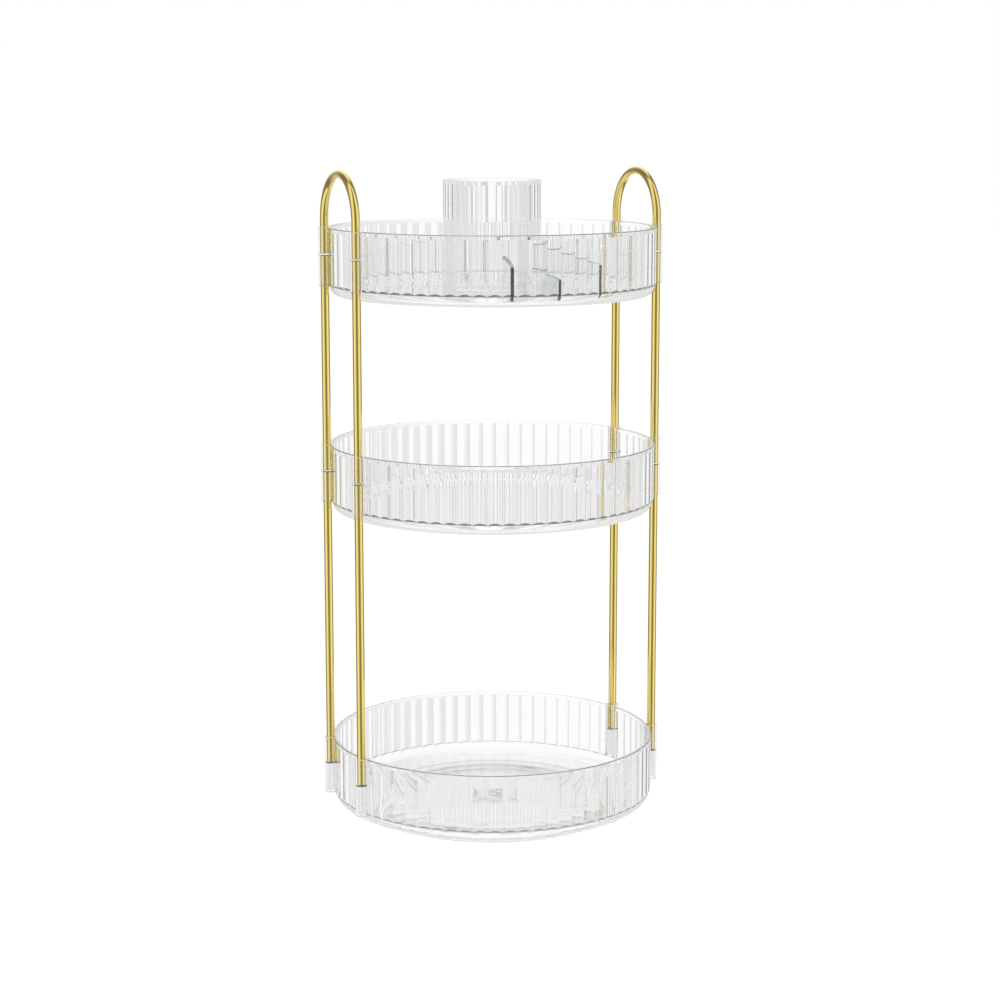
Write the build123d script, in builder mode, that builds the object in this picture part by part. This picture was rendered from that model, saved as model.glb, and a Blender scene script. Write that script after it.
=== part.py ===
from build123d import *
import math
import os

os.makedirs("parts", exist_ok=True)

# Round three-tier makeup organizer: clear ribbed trays on gold tube poles, two arch handles,
# a lift-out divider insert and brush cup in the top tray, and a ball turntable underneath.
# Millimetres, +Z up, front towards -Y, handles on the X axis.
# The origin is on the table, at the centre of the turntable.

# Trays. The radius is to the crests of the flutes, the depth is rim to underside.
# The inside of the wall follows the flutes, so the wall is a corrugated one.
tray_radius = 115.0
tray_depth = 47.7
tray_wall = 2.2
tray_floor = 2.4
flute_count = 72
flute_depth = 0.7
inner_flute_depth = 0.8
lip_height = 3.2
lip_proud = 0.2
rim_round = 1.0
dish_height = 7.2
dish_step = 0.5
dish_corner = 6.6
inside_corner = 5.2

# Spacing of the trays, underside to underside.
lower_pitch = 212.4
upper_pitch = 151.9

# Tube poles, the sockets they stand in, and the arch handles made of the same tube.
pole_radius = 3.0
pole_wall = 0.7
pole_play = 0.05
pole_end_gap = 0.1
socket_wall = 1.35
socket_offset = 2.3
socket_angle = 15.7
socket_mouth = 0.4
stop_depth = 18.0
stop_thickness = 1.2
handle_leg = 5.6

# Brush cup.
cup_radius = 34.2
cup_height = 77.4
cup_wall = 1.8
cup_floor = 2.0
cup_flute_count = 36
cup_flute_depth = 0.5
cup_inner_flute_depth = 0.6
cup_lip_height = 3.0
cup_lip_proud = 0.15
cup_lip_round = 0.9
cup_foot_height = 3.0
cup_foot_step = 0.4
cup_foot_round = 1.5
cup_inside_round = 2.5

# Divider insert. Its heights are above the tray's floor.
fin_thickness = 2.2
fin_wall_gap = 0.6
fin_handle_gap = 0.5
fin_cup_gap = 0.8
long_fin_inner_height = 38.0
long_fin_outer_height = 23.9
low_fin_inner_height = 21.9
low_fin_outer_height = 15.3
front_fin_angle = 16.7
side_fin_angle = 98.0
cross_wall_radius = 69.0
cross_wall_thickness = 2.0
ring_wall = 2.0
ring_height = 8.0
ring_play = 0.4
seat_gap = 0.1

# Turntable base, with a raised ring for the ball track round a lower centre.
foot_proud = 1.0
base_radius = 90.0
base_height = 5.5
base_skin = 2.6
base_wall = 2.0
base_edge_round = 1.2
track_inner_radius = 67.0
centre_drop = 1.3
centre_thickness = 1.5
rib_count = 8
rib_thickness = 1.6
rib_lift = 0.6
hub_wall = 6.9
tray_gap = 2.0

# Rubber feet, balls and their cage.
foot_count = 4
foot_radius = 5.0
foot_recess = 0.8
foot_play = 0.1
foot_boss_wall = 1.9
ball_count = 12
ball_radius = 2.0
ball_play = 0.2
cage_width = 10.0
cage_thickness = 1.0

# Pivot under the bottom tray: a boss, a washer and a screw that hold the base on.
boss_radius = 7.0
boss_play = 0.1
pivot_end_play = 0.3
washer_radius = 12.0
washer_thickness = 0.8
screw_radius = 1.5
screw_length = 6.4
screw_play = 0.05
screw_tip_gap = 0.3
screw_head_radius = 3.5
screw_head_height = 1.4
screw_head_round = 0.6
drive_length = 3.6
drive_width = 0.9
drive_depth = 0.7

# Radii and levels worked out from the sizes above.
valley_radius = tray_radius - flute_depth
dish_radius = valley_radius - dish_step
inner_radius = tray_radius - tray_wall
inner_valley = inner_radius - inner_flute_depth
lip_radius = tray_radius + lip_proud
wall_middle = (inner_radius + dish_radius) / 2
shoulder = lip_radius - dish_radius
base_top = foot_proud + base_height
track_radius = (track_inner_radius + base_radius) / 2
track_level = base_top + tray_gap / 2
groove_radius = ball_radius + ball_play
centre_top = base_top - centre_drop
centre_bottom = centre_top - centre_thickness
hub_radius = boss_radius + boss_play + hub_wall
boss_bottom = centre_bottom - pivot_end_play
tray_levels = {
    "bottom_tray": base_top + tray_gap,
    "middle_tray": base_top + tray_gap + lower_pitch,
    "top_tray": base_top + tray_gap + lower_pitch + upper_pitch,
}
top_floor = tray_levels["top_tray"] + tray_floor

# Sockets: a pair on each side, their centres on one circle just outside the tray wall.
bore_radius = pole_radius + pole_play
socket_radius = bore_radius + socket_wall
socket_circle = tray_radius + socket_offset
socket_x = socket_circle * math.cos(math.radians(socket_angle))
socket_y = socket_circle * math.sin(math.radians(socket_angle))
socket_spots = {
    "front_left": (-socket_x, -socket_y),
    "front_right": (socket_x, -socket_y),
    "rear_left": (-socket_x, socket_y),
    "rear_right": (socket_x, socket_y),
}


def on_circle(radius, angle):
    """Point on a circle about the axis, the angle in degrees."""
    return radius * math.cos(math.radians(angle)), radius * math.sin(math.radians(angle))


def flute_arcs(valley, crest, count):
    """Closed ring of convex flutes: one arc from valley to valley over each crest."""
    pitch = 360 / count
    for index in range(count):
        start = index * pitch
        ThreePointArc(
            on_circle(valley, start),
            on_circle(crest, start + pitch / 2),
            on_circle(valley, start + pitch),
        )


# The moulding that the three trays share, with its underside at height 0.
flute_foot = dish_height
lip_bottom = tray_depth - lip_height
stop_top = tray_depth - stop_depth
stop_bottom = stop_top - stop_thickness
with BuildPart() as moulding:
    # Flutes from the dish up to the lip, rounded off at their foot.
    with BuildSketch(Plane.XY.offset(flute_foot)):
        with BuildLine():
            flute_arcs(valley_radius, tray_radius, flute_count)
        make_face()
        Circle(wall_middle, mode=Mode.SUBTRACT)
    extrude(amount=lip_bottom - flute_foot)
    with BuildSketch(Plane.XZ):
        with BuildLine():
            foot = Line((inner_radius, flute_foot), (dish_radius, flute_foot))
            foot_turn = JernArc(foot @ 1, (1, 0), shoulder, 90)
            Polyline(foot_turn @ 1, (lip_radius, tray_depth), (inner_radius, tray_depth), foot @ 0)
        make_face()
    revolve(axis=Axis.Z, mode=Mode.INTERSECT)
    # The same flutes inside, from the floor up to the lip.
    with BuildSketch(Plane.XY.offset(tray_floor)):
        Circle(wall_middle)
        with BuildLine():
            flute_arcs(inner_valley, inner_radius, flute_count)
        make_face(mode=Mode.SUBTRACT)
    extrude(amount=lip_bottom - tray_floor)
    # Bowl: floor, rounded corner, wall and the plain lip at the rim.
    with BuildSketch(Plane.XZ):
        with BuildLine():
            bottom = Line((0, 0), (dish_radius - dish_corner, 0))
            turn = JernArc(bottom @ 1, bottom % 1, dish_corner, 90)
            wall = Polyline(
                turn @ 1,
                (dish_radius, lip_bottom),
                (lip_radius, lip_bottom),
                (lip_radius, tray_depth - rim_round),
            )
            outer_round = JernArc(wall @ 1, (0, 1), rim_round, 90)
            rim_flat = Line(outer_round @ 1, (inner_radius + rim_round, tray_depth))
            inner_round = JernArc(rim_flat @ 1, (-1, 0), rim_round, 90)
            inside = Line(inner_round @ 1, (inner_radius, tray_floor + inside_corner))
            inside_turn = JernArc(inside @ 1, (0, -1), inside_corner, -90)
            Polyline(inside_turn @ 1, (0, tray_floor), (0, 0))
        make_face()
    revolve(axis=Axis.Z)
    # Socket tubes, then their bores, which a web half-way up keeps apart.
    with BuildSketch(Plane.XY.offset(flute_foot)):
        with Locations(*socket_spots.values()):
            Circle(socket_radius)
    extrude(amount=tray_depth - flute_foot)
    for level, length in ((stop_top, stop_depth), (flute_foot, stop_bottom - flute_foot)):
        with BuildSketch(Plane.XY.offset(level)):
            with Locations(*socket_spots.values()):
                Circle(bore_radius)
        extrude(amount=length, mode=Mode.SUBTRACT)
    bore_edges = moulding.edges().filter_by(GeomType.CIRCLE).filter_by(
        lambda edge: abs(edge.radius - bore_radius) < pole_play / 2
    )
    mouths = bore_edges.group_by(Axis.Z)
    chamfer(mouths[0] + mouths[-1], socket_mouth)

# Three trays of that moulding. The bottom one also has the pivot boss and the upper ball groove.
for tray_name, underside in tray_levels.items():
    with BuildPart() as tray:
        with Locations((0, 0, underside)):
            add(moulding.part)
        if tray_name == "bottom_tray":
            with BuildSketch(Plane.XY.offset(boss_bottom)):
                Circle(boss_radius)
            extrude(amount=underside - boss_bottom)
            with BuildSketch(Plane.XY.offset(boss_bottom)):
                Circle(screw_radius + screw_play)
            extrude(amount=screw_length, mode=Mode.SUBTRACT)
            with BuildSketch(Plane.XZ):
                with Locations((track_radius, track_level)):
                    Circle(groove_radius)
            revolve(axis=Axis.Z, mode=Mode.SUBTRACT)
    tray.part.label = tray_name
    export_step(tray.part, f"parts/{tray_name}.step")

# Poles: each stands on the web in one socket and reaches the web in the socket above.
pole_runs = {
    "lower_pole": ("bottom_tray", "middle_tray"),
    "upper_pole": ("middle_tray", "top_tray"),
}
for run_name, (below, above) in pole_runs.items():
    pole_start = tray_levels[below] + tray_depth - stop_depth + pole_end_gap
    pole_end = tray_levels[above] + tray_depth - stop_depth - stop_thickness - pole_end_gap
    for corner, spot in socket_spots.items():
        with BuildPart() as pole:
            with BuildSketch(Plane.XY.offset(pole_start)):
                with Locations(spot):
                    Circle(pole_radius)
                    Circle(pole_radius - pole_wall, mode=Mode.SUBTRACT)
            extrude(amount=pole_end - pole_start)
        pole.part.label = f"{run_name}_{corner}"
        export_step(pole.part, f"parts/{run_name}_{corner}.step")

# Arch handles: bent tube, both legs pushed into the top tray's sockets.
handle_seat = tray_levels["top_tray"] + tray_depth - stop_depth + pole_end_gap
handle_spring = tray_levels["top_tray"] + tray_depth + handle_leg
for handle_name, handle_x in (("left_handle", -socket_x), ("right_handle", socket_x)):
    with BuildPart() as handle:
        with BuildLine(Plane.YZ.offset(handle_x)) as bend:
            front_leg = Line((-socket_y, handle_seat), (-socket_y, handle_spring))
            crown = JernArc(front_leg @ 1, front_leg % 1, socket_y, -180)
            Line(crown @ 1, (socket_y, handle_seat))
        with BuildSketch(Plane(origin=bend.line @ 0, z_dir=(0, 0, 1))):
            Circle(pole_radius)
            Circle(pole_radius - pole_wall, mode=Mode.SUBTRACT)
        sweep(path=bend.line)
    handle.part.label = handle_name
    export_step(handle.part, f"parts/{handle_name}.step")

# Brush cup: fluted outside and inside, with a plain lip and a plain foot.
cup_bottom = top_floor + seat_gap
cup_rim = cup_bottom + cup_height
cup_valley = cup_radius - cup_flute_depth
cup_foot_radius = cup_valley - cup_foot_step
cup_lip_radius = cup_radius + cup_lip_proud
cup_inner = cup_radius - cup_wall
cup_lip_bottom = cup_rim - cup_lip_height
cup_flute_foot = cup_bottom + cup_foot_height
cup_floor_top = cup_bottom + cup_floor
cup_inner_valley = cup_inner - cup_inner_flute_depth
cup_middle = (cup_inner + cup_foot_radius) / 2
with BuildPart() as brush_cup:
    with BuildSketch(Plane.XZ):
        with BuildLine():
            bottom = Line((0, cup_bottom), (cup_foot_radius - cup_foot_round, cup_bottom))
            turn = JernArc(bottom @ 1, (1, 0), cup_foot_round, 90)
            wall = Polyline(
                turn @ 1,
                (cup_foot_radius, cup_lip_bottom),
                (cup_lip_radius, cup_lip_bottom),
                (cup_lip_radius, cup_rim - cup_lip_round),
            )
            outer_round = JernArc(wall @ 1, (0, 1), cup_lip_round, 90)
            rim_flat = Line(outer_round @ 1, (cup_inner + cup_lip_round, cup_rim))
            inner_round = JernArc(rim_flat @ 1, (-1, 0), cup_lip_round, 90)
            inside = Line(inner_round @ 1, (cup_inner, cup_floor_top + cup_inside_round))
            inside_turn = JernArc(inside @ 1, (0, -1), cup_inside_round, -90)
            Polyline(inside_turn @ 1, (0, cup_floor_top), (0, cup_bottom))
        make_face()
    revolve(axis=Axis.Z)
    with BuildSketch(Plane.XY.offset(cup_flute_foot)):
        with BuildLine():
            flute_arcs(cup_valley, cup_radius, cup_flute_count)
        make_face()
        Circle(cup_middle, mode=Mode.SUBTRACT)
    extrude(amount=cup_lip_bottom - cup_flute_foot)
    with BuildSketch(Plane.XY.offset(cup_floor_top)):
        Circle(cup_middle)
        with BuildLine():
            flute_arcs(cup_inner_valley, cup_inner, cup_flute_count)
        make_face(mode=Mode.SUBTRACT)
    extrude(amount=cup_lip_bottom - cup_floor_top)
brush_cup.part.label = "brush_cup"
export_step(brush_cup.part, "parts/brush_cup.step")

# Divider insert: fins that stand out from a ring round the cup's foot, clear of the wall.
insert_bottom = top_floor + seat_gap
ring_inner = cup_lip_radius + ring_play
fin_root = cup_lip_radius + fin_cup_gap
fin_tip = inner_valley - fin_wall_gap
# The side fins are lifted past the arch handles, so they also stop short of those.
handle_limit = (socket_x - pole_radius - fin_handle_gap) / math.sin(math.radians(side_fin_angle))
side_fin_tip = min(fin_tip, handle_limit)
front = -90.0
fins = [
    (front - front_fin_angle, fin_root, fin_tip, long_fin_inner_height, long_fin_outer_height),
    (front + front_fin_angle, fin_root, fin_tip, long_fin_inner_height, long_fin_outer_height),
    (front - side_fin_angle, fin_root, side_fin_tip, long_fin_inner_height, long_fin_outer_height),
    (front + side_fin_angle, fin_root, side_fin_tip, long_fin_inner_height, long_fin_outer_height),
    (front, cross_wall_radius, fin_tip, low_fin_inner_height, low_fin_outer_height),
]
with BuildPart() as divider_insert:
    with BuildSketch(Plane.XY.offset(insert_bottom)):
        Circle(ring_inner + ring_wall)
        Circle(ring_inner, mode=Mode.SUBTRACT)
    extrude(amount=ring_height)
    for angle, root, tip, inner_height, outer_height in fins:
        across = (math.sin(math.radians(angle)), -math.cos(math.radians(angle)), 0)
        outward = (*on_circle(1, angle), 0)
        with BuildSketch(Plane(origin=(0, 0, insert_bottom), x_dir=outward, z_dir=across)):
            with BuildLine():
                foot = Line((root, 0), (tip - inside_corner, 0))
                toe = JernArc(foot @ 1, (1, 0), inside_corner, 90)
                Polyline(toe @ 1, (tip, outer_height), (root, inner_height), (root, 0))
            make_face()
        extrude(amount=fin_thickness / 2, both=True)
    with BuildSketch(Plane.XY.offset(insert_bottom)):
        Circle(cross_wall_radius + cross_wall_thickness / 2)
        Circle(cross_wall_radius - cross_wall_thickness / 2, mode=Mode.SUBTRACT)
        with BuildLine():
            Polyline(
                (0, 0),
                on_circle(inner_radius, front - front_fin_angle),
                on_circle(inner_radius, front + front_fin_angle),
                close=True,
            )
        make_face(mode=Mode.INTERSECT)
    extrude(amount=low_fin_inner_height)
divider_insert.part.label = "divider_insert"
export_step(divider_insert.part, "parts/divider_insert.step")

# Base plate: a hollow moulding with a raised track ring, a lower centre, ribs and a hub.
ring_roof = base_top - base_skin
with BuildPart() as base_plate:
    with BuildSketch(Plane.XZ):
        with BuildLine():
            Polyline(
                (boss_radius + boss_play, centre_bottom),
                (boss_radius + boss_play, base_top),
                (hub_radius, base_top),
                (hub_radius, centre_top),
                (track_inner_radius, centre_top),
                (track_inner_radius, base_top),
                (base_radius, base_top),
                (base_radius, foot_proud),
                (base_radius - base_wall, foot_proud),
                (base_radius - base_wall, ring_roof),
                (track_inner_radius + base_wall, ring_roof),
                (track_inner_radius + base_wall, foot_proud),
                (track_inner_radius, foot_proud),
                (track_inner_radius, centre_bottom),
                close=True,
            )
        make_face()
    revolve(axis=Axis.Z)
    outer_edge = base_plate.edges().filter_by(GeomType.CIRCLE).sort_by(SortBy.RADIUS)[-2:]
    fillet(outer_edge.sort_by(Axis.Z)[-1], base_edge_round)
    # Ribs under the centre, from the washer's clearance ring out to the track ring.
    with BuildSketch(Plane.XY.offset(foot_proud + rib_lift)):
        with PolarLocations((hub_radius + track_inner_radius) / 2, rib_count):
            Rectangle(track_inner_radius - hub_radius + base_wall, rib_thickness)
    extrude(amount=centre_bottom - foot_proud - rib_lift)
    # Bosses over the feet, then the recesses that the feet are stuck into.
    with BuildSketch(Plane.XY.offset(foot_proud)):
        with PolarLocations(track_radius, foot_count, start_angle=45):
            Circle(foot_radius + foot_play + foot_boss_wall)
    extrude(amount=ring_roof - foot_proud)
    with BuildSketch(Plane.XY.offset(foot_proud)):
        with PolarLocations(track_radius, foot_count, start_angle=45):
            Circle(foot_radius + foot_play)
    extrude(amount=foot_recess, mode=Mode.SUBTRACT)
    # Lower half of the ball track.
    with BuildSketch(Plane.XZ):
        with Locations((track_radius, track_level)):
            Circle(groove_radius)
    revolve(axis=Axis.Z, mode=Mode.SUBTRACT)
base_plate.part.label = "base_plate"
export_step(base_plate.part, "parts/base_plate.step")

with BuildPart() as rubber_feet:
    with BuildSketch():
        with PolarLocations(track_radius, foot_count, start_angle=45):
            Circle(foot_radius)
    extrude(amount=foot_proud + foot_recess)
rubber_feet.part.label = "rubber_feet"
export_step(rubber_feet.part, "parts/rubber_feet.step")

with BuildPart() as bearing_balls:
    with Locations((0, 0, track_level)):
        with PolarLocations(track_radius, ball_count):
            Sphere(ball_radius)
bearing_balls.part.label = "bearing_balls"
export_step(bearing_balls.part, "parts/bearing_balls.step")

with BuildPart() as ball_cage:
    with BuildSketch(Plane.XY.offset(track_level - cage_thickness / 2)):
        Circle(track_radius + cage_width / 2)
        Circle(track_radius - cage_width / 2, mode=Mode.SUBTRACT)
        with PolarLocations(track_radius, ball_count):
            Circle(groove_radius, mode=Mode.SUBTRACT)
    extrude(amount=cage_thickness)
ball_cage.part.label = "ball_cage"
export_step(ball_cage.part, "parts/ball_cage.step")

# Washer and screw that close the pivot from below.
washer_bottom = boss_bottom - washer_thickness
with BuildPart() as pivot_washer:
    with BuildSketch(Plane.XY.offset(washer_bottom)):
        Circle(washer_radius)
        Circle(screw_radius + screw_play, mode=Mode.SUBTRACT)
    extrude(amount=washer_thickness)
pivot_washer.part.label = "pivot_washer"
export_step(pivot_washer.part, "parts/pivot_washer.step")

with BuildPart() as pivot_screw:
    with BuildSketch(Plane.XY.offset(washer_bottom - screw_head_height)):
        Circle(screw_head_radius)
    extrude(amount=screw_head_height)
    fillet(pivot_screw.edges().group_by(Axis.Z)[0], screw_head_round)
    with BuildSketch(Plane.XY.offset(washer_bottom)):
        Circle(screw_radius)
    extrude(amount=washer_thickness + screw_length - screw_tip_gap)
    with BuildSketch(Plane.XY.offset(washer_bottom - screw_head_height)):
        Rectangle(drive_length, drive_width)
        Rectangle(drive_width, drive_length)
    extrude(amount=drive_depth, mode=Mode.SUBTRACT)
pivot_screw.part.label = "pivot_screw"
export_step(pivot_screw.part, "parts/pivot_screw.step")
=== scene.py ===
import math

import bmesh
import bpy
import numpy as np
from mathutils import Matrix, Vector


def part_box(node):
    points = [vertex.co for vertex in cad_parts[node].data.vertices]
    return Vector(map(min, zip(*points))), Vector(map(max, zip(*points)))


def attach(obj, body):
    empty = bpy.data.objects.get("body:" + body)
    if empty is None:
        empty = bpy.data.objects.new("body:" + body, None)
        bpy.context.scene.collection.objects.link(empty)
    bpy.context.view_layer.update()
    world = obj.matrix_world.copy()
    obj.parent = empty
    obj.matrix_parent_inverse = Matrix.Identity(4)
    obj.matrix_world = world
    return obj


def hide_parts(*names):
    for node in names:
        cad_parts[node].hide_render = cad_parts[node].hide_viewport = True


# A round three-tier makeup organizer: clear ribbed trays, gold tubes, a brush cup and dividers.
# The pieces' dictionaries and the distances below are in millimetres and degrees.
# Meshes, floor, camera and lamp are in metres.
mm = 0.001
mergeWithin = 0.002                          # points closer than this are one point
levelWithin = 0.01                           # points and faces this near to a level lie on it
sharpAngle = 25                              # shading stays smooth over edges up to this angle
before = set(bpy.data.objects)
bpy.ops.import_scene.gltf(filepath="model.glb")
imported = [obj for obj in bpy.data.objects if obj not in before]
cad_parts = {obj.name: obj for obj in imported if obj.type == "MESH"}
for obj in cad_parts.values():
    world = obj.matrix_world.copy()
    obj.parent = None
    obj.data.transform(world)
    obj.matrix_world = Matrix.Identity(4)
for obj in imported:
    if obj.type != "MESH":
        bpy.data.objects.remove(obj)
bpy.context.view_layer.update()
print("frame loaded")


# Shapes as whole arrays

def wholeTurn(count):
    # Angles of count points evenly all the way round.
    return np.linspace(0, 360, count + 1)[:-1]


def heading(angle):
    # Level direction of length 1 at an angle from the x axis.
    turn = math.radians(angle)
    return np.array([math.cos(turn), math.sin(turn), 0])


def ringRows(profile, angles):
    # Surface of revolution: profile point (r, z) and angle a give (r cos a, r sin a, z).
    turn = np.radians(angles)
    radius, height = np.asarray(profile, float).T[:, :, None]
    return np.stack([radius * np.cos(turn), radius * np.sin(turn), height + 0 * turn], axis=-1)


def arcPoints(centre, radius, start, end, count):
    # Points of a circular arc in the (r, z) plane: centre + radius (cos a, sin a), a from start to end.
    turn = np.radians(np.linspace(start, end, count + 1))
    return np.stack([centre[0] + radius * np.cos(turn), centre[1] + radius * np.sin(turn)], axis=1)


def withGuards(profile, guard, longRun=4):
    # Adds a point at guard from each end of every long run, so that flats stay flat beside round corners.
    # A run is long if it is more than longRun guards long.
    points = [profile[0]]
    for start, end in zip(profile[:-1], profile[1:]):
        length = np.hypot(*(end - start))
        if length > longRun * guard:
            points += [start + (end - start) * guard / length, end - (end - start) * guard / length]
        points.append(end)
    return np.array(points)


def fluteRadius(angles, valley, crest, count):
    # Distance from the axis to a ring of convex arcs, one from valley to valley over each crest.
    # Each arc has its centre c out on its own middle line: r = c cos a + sqrt(b^2 - (c sin a)^2).
    half = math.radians(180 / count)
    centre = (crest ** 2 - valley ** 2) / (2 * (crest - valley * math.cos(half)))
    arc = crest - centre
    off = np.radians(np.asarray(angles) % (360 / count)) - half
    return centre * np.cos(off) + np.sqrt(arc ** 2 - (centre * np.sin(off)) ** 2)


def gridFaces(rows, columns, first, wrapRows=False):
    # Quads between neighbouring rows of a grid whose columns go all the way round, and whose rows
    # do so too with wrapRows.
    row = np.arange(rows if wrapRows else rows - 1)[:, None]
    column = np.arange(columns)[None, :]
    nextRow, nextColumn = (row + 1) % rows, (column + 1) % columns
    corners = [row * columns + column, row * columns + nextColumn,
               nextRow * columns + nextColumn, nextRow * columns + column]
    return first + np.stack(corners, axis=-1).reshape(-1, 4)


def linked(name, data):
    # Links the data to the scene as an object at the origin.
    piece = bpy.data.objects.new(name, data)
    bpy.context.scene.collection.objects.link(piece)
    return piece


def cleaned(mesh, levels=(), turnOut=True):
    # Merges points that meet, fills open loops at the named levels flat with their holes kept,
    # turns the faces outwards, and counts the edges that are still open.
    build = bmesh.new()
    build.from_mesh(mesh)
    bmesh.ops.remove_doubles(build, verts=build.verts, dist=mergeWithin * mm)
    for level in levels:
        rim = [edge for edge in build.edges if edge.is_boundary
               and all(abs(v.co.z / mm - level) < levelWithin for v in edge.verts)]
        bmesh.ops.triangle_fill(build, use_beauty=True, edges=rim, normal=(0, 0, 1))
    if turnOut:
        bmesh.ops.recalc_face_normals(build, faces=build.faces)
    loose = sum(not edge.is_manifold for edge in build.edges)
    build.to_mesh(mesh)
    build.free()
    return loose


def placed(name, mesh, loose):
    # Links the finished mesh, smooth except over sharp edges.
    mesh.shade_smooth()
    mesh.set_sharp_from_angle(angle=math.radians(sharpAngle))
    triangles = sum(len(face.vertices) - 2 for face in mesh.polygons)
    print(f"  {name}: {triangles} triangles, {loose} open edges")
    return linked(name, mesh)


def closedObject(name, sheets, levels=(), wrapRows=False):
    # One closed mesh from sheets of rows.
    points, faces, first = [], [], 0
    for sheet in sheets:
        rows, columns = sheet.shape[:2]
        points.append(sheet.reshape(-1, 3))
        faces.append(gridFaces(rows, columns, first, wrapRows))
        first += rows * columns
    mesh = bpy.data.meshes.new(name)
    mesh.from_pydata((np.concatenate(points) * mm).tolist(), [], np.concatenate(faces).tolist())
    return placed(name, mesh, cleaned(mesh, levels))


def solidPart(name, points, faces):
    # A closed part from points and faces, to be joined with others.
    mesh = bpy.data.meshes.new(name)
    mesh.from_pydata((np.asarray(points, float) * mm).tolist(), [], faces)
    cleaned(mesh)
    return linked(name, mesh)


def joined(name, parts):
    # Union of closed parts as one mesh.
    first, *others = parts
    for other in others:
        union = first.modifiers.new(other.name, "BOOLEAN")
        union.operation = "UNION"
        union.solver = "EXACT"
        union.object = other
    bpy.context.view_layer.update()
    mesh = bpy.data.meshes.new_from_object(first.evaluated_get(bpy.context.evaluated_depsgraph_get()))
    mesh.name = name
    for part in parts:
        bpy.data.objects.remove(part)
    return placed(name, mesh, cleaned(mesh, turnOut=False))


# Clear trays

tray = {
    "radius": 115.0, "depth": 47.7, "wall": 2.2, "floor": 2.4,
    "flutes": 72, "fluteDepth": 0.7, "innerFluteDepth": 0.3, "columnsPerFlute": 8,
    "lipHeight": 3.2, "lipProud": 0.2, "rimRound": 1.0, "edgeHeight": 1.1,
    "dishHeight": 7.2, "dishStep": 0.5, "dishCorner": 6.6, "insideCorner": 5.2,
    "guard": 0.5, "rimRows": 8, "insideRows": 20, "shoulderRows": 14, "dishRows": 24,
    # Where the painted shade lines lie, with their height given above: at the foot of the flutes and on the
    # outside of the rim.
    "edgeLeast": 0.3, "edgeArea": 4.0, "edgeFrom": 0.02, "edgeTo": 0.1, "rimSlope": (0.3, 0.8),
}
socket = {
    "bore": 3.05, "wall": 1.35, "circle": 117.3, "angles": (15.7, 164.3, 195.7, 344.3),
    "stopDepth": 18.0, "stopThickness": 1.2, "mouth": 0.4,
    "columns": 29, "evenShare": 12 / 14, "evenTurn": 114.0, "clear": 2.05,
    "boreColumns": 40, "searchTurn": 4.0, "searchSteps": 40,
}
track = {"radius": 78.5, "groove": 2.2, "rows": 10}
pivot = {"trackBelow": 1.0, "bossRadius": 7.0, "bossDepth": 5.1, "screwHole": 1.55, "screwDepth": 6.4}


def trayColumns(dish):
    # Angles of the mesh columns: evenly round the wall, with a bundle of them for each socket tube.
    # The bundle spans what the tube covers of the dish:
    # cos a = (dish^2 + circle^2 - tube^2) / (2 dish circle).
    step = 360 / (tray["flutes"] * tray["columnsPerFlute"])
    wall = np.arange(0, 360, step)
    centres = np.array(socket["angles"])
    away = np.abs((wall[:, None] - centres + 180) % 360 - 180).min(axis=1)
    wall = wall[away > socket["clear"]]
    circle, tube = socket["circle"], socket["bore"] + socket["wall"]
    span = math.degrees(math.acos((dish ** 2 + circle ** 2 - tube ** 2) / (2 * dish * circle)))
    spread = np.linspace(-1, 1, socket["columns"])
    angles = np.concatenate([wall, (centres[:, None] + spread * span).ravel()])
    owner = np.concatenate([np.full(len(wall), -1), np.repeat(np.arange(len(centres)), len(spread))])
    spreads = np.concatenate([np.zeros(len(wall)), np.tile(spread, len(centres))])
    order = np.argsort(angles)
    return angles[order], owner[order], spreads[order]


def wallRow(angles, radius, height):
    # One row of points at its own radius and height in each column.
    turn = np.radians(angles)
    radius, height = np.broadcast_to(radius, turn.shape), np.broadcast_to(height, turn.shape)
    return np.stack([radius * np.cos(turn), radius * np.sin(turn), height], axis=1)


def roundRows(angles, wallRadius, centre, radius, start, count):
    # Round corner that runs into a fluted wall: r = centre + radius cos a, z = level + radius sin a,
    # with a from start to where r reaches the wall's own radius in that column.
    reach = np.clip((wallRadius - centre[0]) / radius, -1, 1)
    end = math.copysign(1, start) * np.arccos(reach)
    turn = np.radians(start) + np.linspace(0, 1, count + 1)[:, None] * (end - np.radians(start))
    return [wallRow(angles, centre[0] + radius * np.cos(row), centre[1] + radius * np.sin(row))
            for row in turn]


def outlineRow(columns, pointAt):
    # Outline of the wall with its socket tubes. Wall columns lie at pointAt(angle), a radius and a height.
    # Tube columns go round the tube from where it leaves the wall to where it meets it again.
    angles, owner, spreads = columns
    points = wallRow(angles, *pointAt(angles))
    tube = socket["bore"] + socket["wall"]
    circle = socket["circle"]
    for index, centre in enumerate(socket["angles"]):
        side = np.array([-1.0, 1.0])
        low, high = np.zeros(2), np.full(2, socket["searchTurn"])
        for _ in range(socket["searchSteps"]):   # halve the range down to the point on both outlines
            middle = (low + high) / 2
            radius = pointAt(centre + side * middle)[0]
            apart = radius ** 2 + circle ** 2 - 2 * radius * circle * np.cos(np.radians(middle))
            low, high = np.where(apart < tube ** 2, (middle, high), (low, middle))
        leave = np.radians(low)
        radius, height = pointAt(centre + side * low)
        ends = np.degrees(np.arctan2(radius * np.sin(leave), radius * np.cos(leave) - circle))
        mine = owner == index
        spread = spreads[mine]
        share = np.abs(spread)
        end = np.where(spread < 0, ends[0], ends[1])
        even = share / socket["evenShare"] * socket["evenTurn"]
        rest = (share - socket["evenShare"]) / (1 - socket["evenShare"])
        around = np.where(share <= socket["evenShare"], even,
                          socket["evenTurn"] + rest * (end - socket["evenTurn"]))
        bearing = centre + np.sign(spread) * around
        points[mine] = circle * heading(centre) + wallRow(bearing, tube, np.interp(spread, (-1, 1), height))
    return points


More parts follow.
